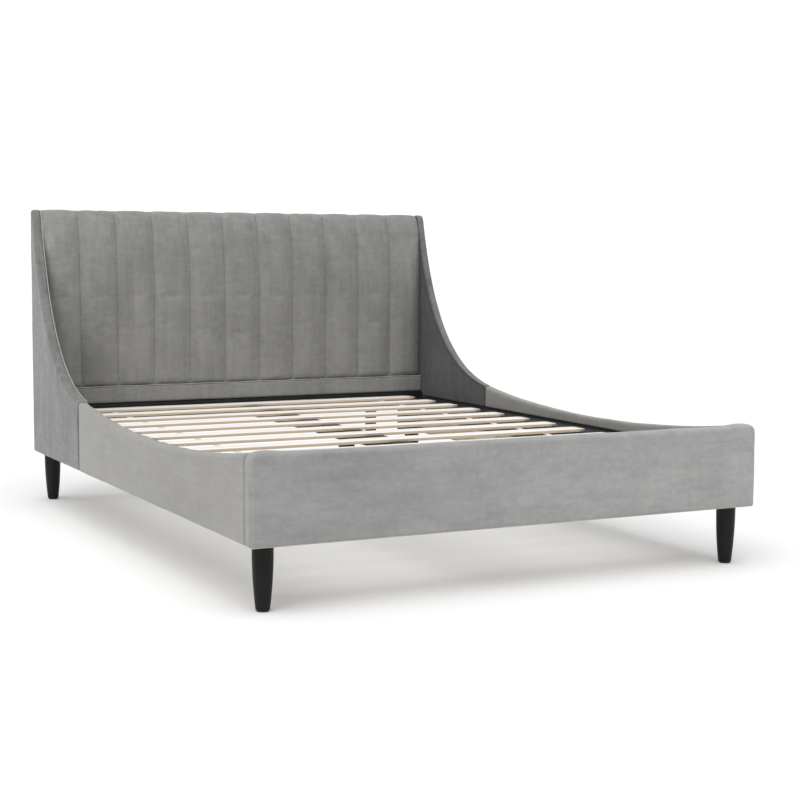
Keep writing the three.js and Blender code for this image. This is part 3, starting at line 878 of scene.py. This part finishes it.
def lower_band():
    """The plain band under the channels, with a welt along their seam."""
    low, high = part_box("headboard_lower_band")
    outline = [[low.x, low.z], [high.x, low.z], [high.x, high.z], [low.x, high.z]]
    loop = resampled(outline, STEP)
    data = padded_solid(rounded_layers(loop, low.y, high.y, 0.005, 0.002), along, seed=7.7, slack=0.0008)
    obj = dress(data, "headboard_band", HEAD_VELVET, ("headboard_lower_band",))
    seam = [
        (x, low.y + 0.0015, CHANNEL_BOTTOM + 0.0006 * math.sin(31 * x))
        for x in np.linspace(low.x + 0.002, high.x - 0.002, 220)
    ]
    # the welt takes the lighter piping velvet: a painted highlight along the seam
    piece("band_welt", *tube(seam, 0.0019), HIGHLIT_PIPING_VELVET, "velvet")


lower_band()


def back_panel():
    """The plain fabric across the back, drawn tight with a few slack ripples."""
    low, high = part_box("headboard_back_cover")
    nx, nz = 120, 60
    x = np.linspace(low.x, high.x, nx + 1)
    z = np.linspace(low.z, high.z, nz + 1)
    grid = np.stack(np.meshgrid(x, z, indexing="ij"), axis=-1).reshape(-1, 2)
    rim = np.minimum.reduce([
        grid[:, 0] - low.x,
        high.x - grid[:, 0],
        grid[:, 1] - low.z,
        high.z - grid[:, 1],
    ])
    points = np.stack([grid[:, 0], np.full(len(grid), high.y), grid[:, 1]], axis=1)
    slack = 0.0012 * ripples(points, 3.2, 31.0, (1, 1, 2.2)) + 0.0004 * ripples(points, 14, 5.0)
    points[:, 1] += (slack - 0.0006) * np.clip(rim / 0.05, 0, 1)
    inner = points.copy()
    inner[:, 1] = low.y
    row = nz + 1
    outer_faces = quads(nx + 1, row)
    base = len(points)
    faces = outer_faces + [tuple(base + v for v in f[::-1]) for f in outer_faces]
    border = (
        [i * row for i in range(nx + 1)]
        + [nx * row + k for k in range(1, nz + 1)]
        + [i * row + nz for i in range(nx - 1, -1, -1)]
        + [k for k in range(nz - 1, 0, -1)]
    )
    faces += [(a, base + a, base + b, b) for a, b in zip(border, border[1:] + border[:1])]
    piece("headboard_back_panel", [*points, *inner], faces, HEAD_VELVET, "velvet", ("headboard_back_cover",))


back_panel()

# ------------------------------------------------ slats, ribbons and lining


SLAT_NUMBERS = range(1, 13)


def slats():
    """The twelve slats, slightly bowed, with two staples at each end."""
    staples = []
    for k in SLAT_NUMBERS:
        node = f"slat_{k:02d}"
        low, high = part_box(node)
        verts, faces = dense_box(low, high, 0.0016, 48)
        co = np.array(verts)
        t = (co[:, 0] - low.x) / (high.x - low.x)
        bow = noise.noise(Vector((k * 1.7, 0.3, 0)))
        co[:, 1] += 0.0016 * bow * np.sin(math.pi * t) + 0.0003 * ripples(co, 9, k)
        co[:, 2] += 0.0004 * ripples(co, 7, k + 40, (1, 0, 0)) - 0.0004
        piece(f"deck_{node}", co, faces, SLAT, "slat_wood", (node,))
        for side in (-1, 1):
            for shift in (-0.018, 0.016):
                x = side * (high.x - 0.011)
                y = (low.y + high.y) / 2 + shift
                staples.append(tube([
                    (x - 0.001, y - 0.005, high.z - 0.004),
                    (x - 0.001, y - 0.005, high.z - 0.0002),
                    (x + 0.001, y + 0.005, high.z - 0.0002),
                    (x + 0.001, y + 0.005, high.z - 0.004),
                ], 0.0006, 5))
    piece("slat_staples", *gathered(staples), STAPLE, "zinc_steel")


slats()


def strip(name, path, width_axis, width, thickness, material, slot, replaces=()):
    """A flat ribbon along a path of points, with its width along one world axis and its edges eased."""
    p = np.array(path, float)
    ahead = np.gradient(p, axis=0)
    ahead /= np.linalg.norm(ahead, axis=1)[:, None]
    wide = np.array(width_axis, float)
    up = np.cross(ahead, wide)
    section = [(-0.5, -0.3), (-0.47, -0.5), (-0.2, -0.5), (0.2, -0.5), (0.47, -0.5), (0.5, -0.3)]
    section += [(-a, -b) for a, b in section]
    verts = [q + wide * a * width + n * b * thickness for q, n in zip(p, up) for a, b in section]
    return piece(name, verts, skin(len(section), len(p)), material, slot, replaces)


def ribbons():
    """Webbing tapes stapled under the slats, a little slack between them."""
    boxes = [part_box(f"slat_{k:02d}") for k in SLAT_NUMBERS]
    for word in ("left", "right"):
        low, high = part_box(f"slat_ribbon_{word}")
        middle = (low.x + high.x) / 2
        path = []
        for y in np.linspace(low.y, high.y, 260):
            gaps = [(a, b) for (_, b), (a, _) in zip(boxes[1:], boxes) if b.y < y < a.y]
            sag = 0.0
            if gaps:
                near, far = gaps[0][1].y, gaps[0][0].y
                sag = 0.0045 * math.sin(math.pi * (y - near) / (far - near)) ** 2
            path.append((middle + 0.001 * math.sin(9 * y), y, (low.z + high.z) / 2 - sag))
        width, thickness = high.x - low.x, high.z - low.z
        node = f"slat_ribbon_{word}"
        obj = strip(f"slat_tape_{word}", path, (1, 0, 0), width, thickness, WEBBING, "webbing", (node,))


ribbons()


def linings():
    """Black non-woven lining stapled along the insides, from under the covers down to the slat ledgers."""
    top = INNER_COVER_BOTTOM + 0.006
    for word, side in (("left", -1), ("right", 1)):
        low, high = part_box(f"slat_ledger_{word}")
        x = side * (SIDE_INNER + COVER - 0.0006)
        path = [
            (x + side * 0.0002 * math.sin(17 * y), y, (top + high.z) / 2)
            for y in np.linspace(low.y + 0.002, high.y - 0.002, 120)
        ]
        width, length = top - high.z - 0.001, high.y - low.y - 0.004
        obj = strip(f"side_lining_{word}", path, (0, 0, 1), width, 0.0006, LINING, None)


linings()

# ------------------------------------------------ corner legs


def turned(profile, x, y, segments=64):
    """A solid of revolution about an upright axis, from (radius, height) points."""
    verts, faces = [], []
    rings = []
    turns = [2 * math.pi * k / segments for k in range(segments)]
    for r, z in profile:
        if r == 0:
            rings.append([len(verts)])
            verts.append((x, y, z))
            continue
        rings.append(list(range(len(verts), len(verts) + segments)))
        verts += [(x + r * math.cos(a), y + r * math.sin(a), z) for a in turns]
    for a, b in zip(rings, rings[1:]):
        for k in range(segments):
            quad = [a[k % len(a)], a[(k + 1) % len(a)], b[(k + 1) % len(b)], b[k % len(b)]]
            faces.append(tuple(dict.fromkeys(quad)))
    return verts, faces


def corner_legs():
    """Four tapered round legs, each bored from above for its hanger bolt."""
    top_radius, bottom_radius, fullness = 0.0295, 0.0195, 2.2
    bolt_hole, hole_bottom = 0.0043, 0.128
    for end in ("front", "rear"):
        for word in ("left", "right"):
            low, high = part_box(f"leg_{end}_{word}")
            x, y = (low.x + high.x) / 2, (low.y + high.y) / 2
            side = []
            for k in range(33):
                z = low.z + (high.z - low.z) * k / 32
                drop = (high.z - z) / (high.z - low.z)
                side.append((top_radius - (top_radius - bottom_radius) * drop**fullness, z))
            side[0] = (side[0][0] - 0.0012, low.z)
            side.insert(1, (side[1][0] - 0.0004, low.z + 0.0012))
            side[-1] = (side[-1][0], high.z - 0.001)
            side.append((top_radius - 0.001, high.z))
            profile = [(0, low.z), *side, (bolt_hole, high.z), (bolt_hole, hole_bottom), (0, hole_bottom)]
            name, node = f"turned_leg_{end}_{word}", f"leg_{end}_{word}"
            piece(name, *turned(profile, x, y), LEG_LACQUER, "black_wood", (node,))


corner_legs()

# ------------------------------------------------ CAD nodes that stay

KEPT = {
    "headboard_top_rail": PINE,
    "headboard_bottom_rail": PINE,
    "headboard_stile": STRUT_BLACK,
    "headboard_board": BOARD,
    "head_ledger": STRUT_BLACK,
    "rear_block": STRUT_BLACK,
    "footboard_core": BOARD,
    "slat_ledger": POWDER_COAT,
    "joint_plate": ZINC,
    "corner_block": PINE,
    "centre_beam": POWDER_COAT,
    "beam_hanger": POWDER_COAT,
    "centre_leg": POWDER_COAT,
    "levelling_foot": NYLON,
    "leg_bolt": ZINC,
    "glide": NYLON,
}
for node_name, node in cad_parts.items():
    for start, material in KEPT.items():
        if node_name.startswith(start) and not node.hide_render:
            node.data.materials.clear()
            node.data.materials.append(material)

# ------------------------------------------------ floor and light


def studio():
    """Pale floor, even white surround and two soft suns."""
    data = bpy.data.meshes.new("floor")
    data.from_pydata([(-40, -40, 0), (40, -40, 0), (40, 40, 0), (-40, 40, 0)], [], [(0, 1, 2, 3)])
    data.materials.append(floor_paint())
    floor = bpy.data.objects.new("floor", data)
    bpy.context.scene.collection.objects.link(floor)
    world = bpy.data.worlds.new("studio")
    world.use_nodes = True
    tree = world.node_tree
    rays = tree.nodes.new("ShaderNodeLightPath")
    strength = tree.nodes.new("ShaderNodeMapRange")
    strength.inputs["To Min"].default_value = 0.59
    strength.inputs["To Max"].default_value = 1.1
    tree.links.new(rays.outputs["Is Camera Ray"], strength.inputs["Value"])
    tree.links.new(strength.outputs[0], tree.nodes["Background"].inputs["Strength"])
    tree.nodes["Background"].inputs["Color"].default_value = (1, 1, 1, 1)
    bpy.context.scene.world = world
    for name, direction, angle, power in (
        ("overhead", (-0.2, -0.2, 1.0), 66, 1.98),
        ("left_front", (-1.0, -0.75, 0.7), 40, 0.45),
    ):
        light = bpy.data.lights.new(name, "SUN")
        light.angle = math.radians(angle)
        light.energy = power
        lamp = bpy.data.objects.new(name, light)
        bpy.context.scene.collection.objects.link(lamp)
        lamp.rotation_euler = Vector(direction).to_track_quat("Z", "Y").to_euler()
    bpy.context.scene.view_settings.view_transform = "Standard"


studio()
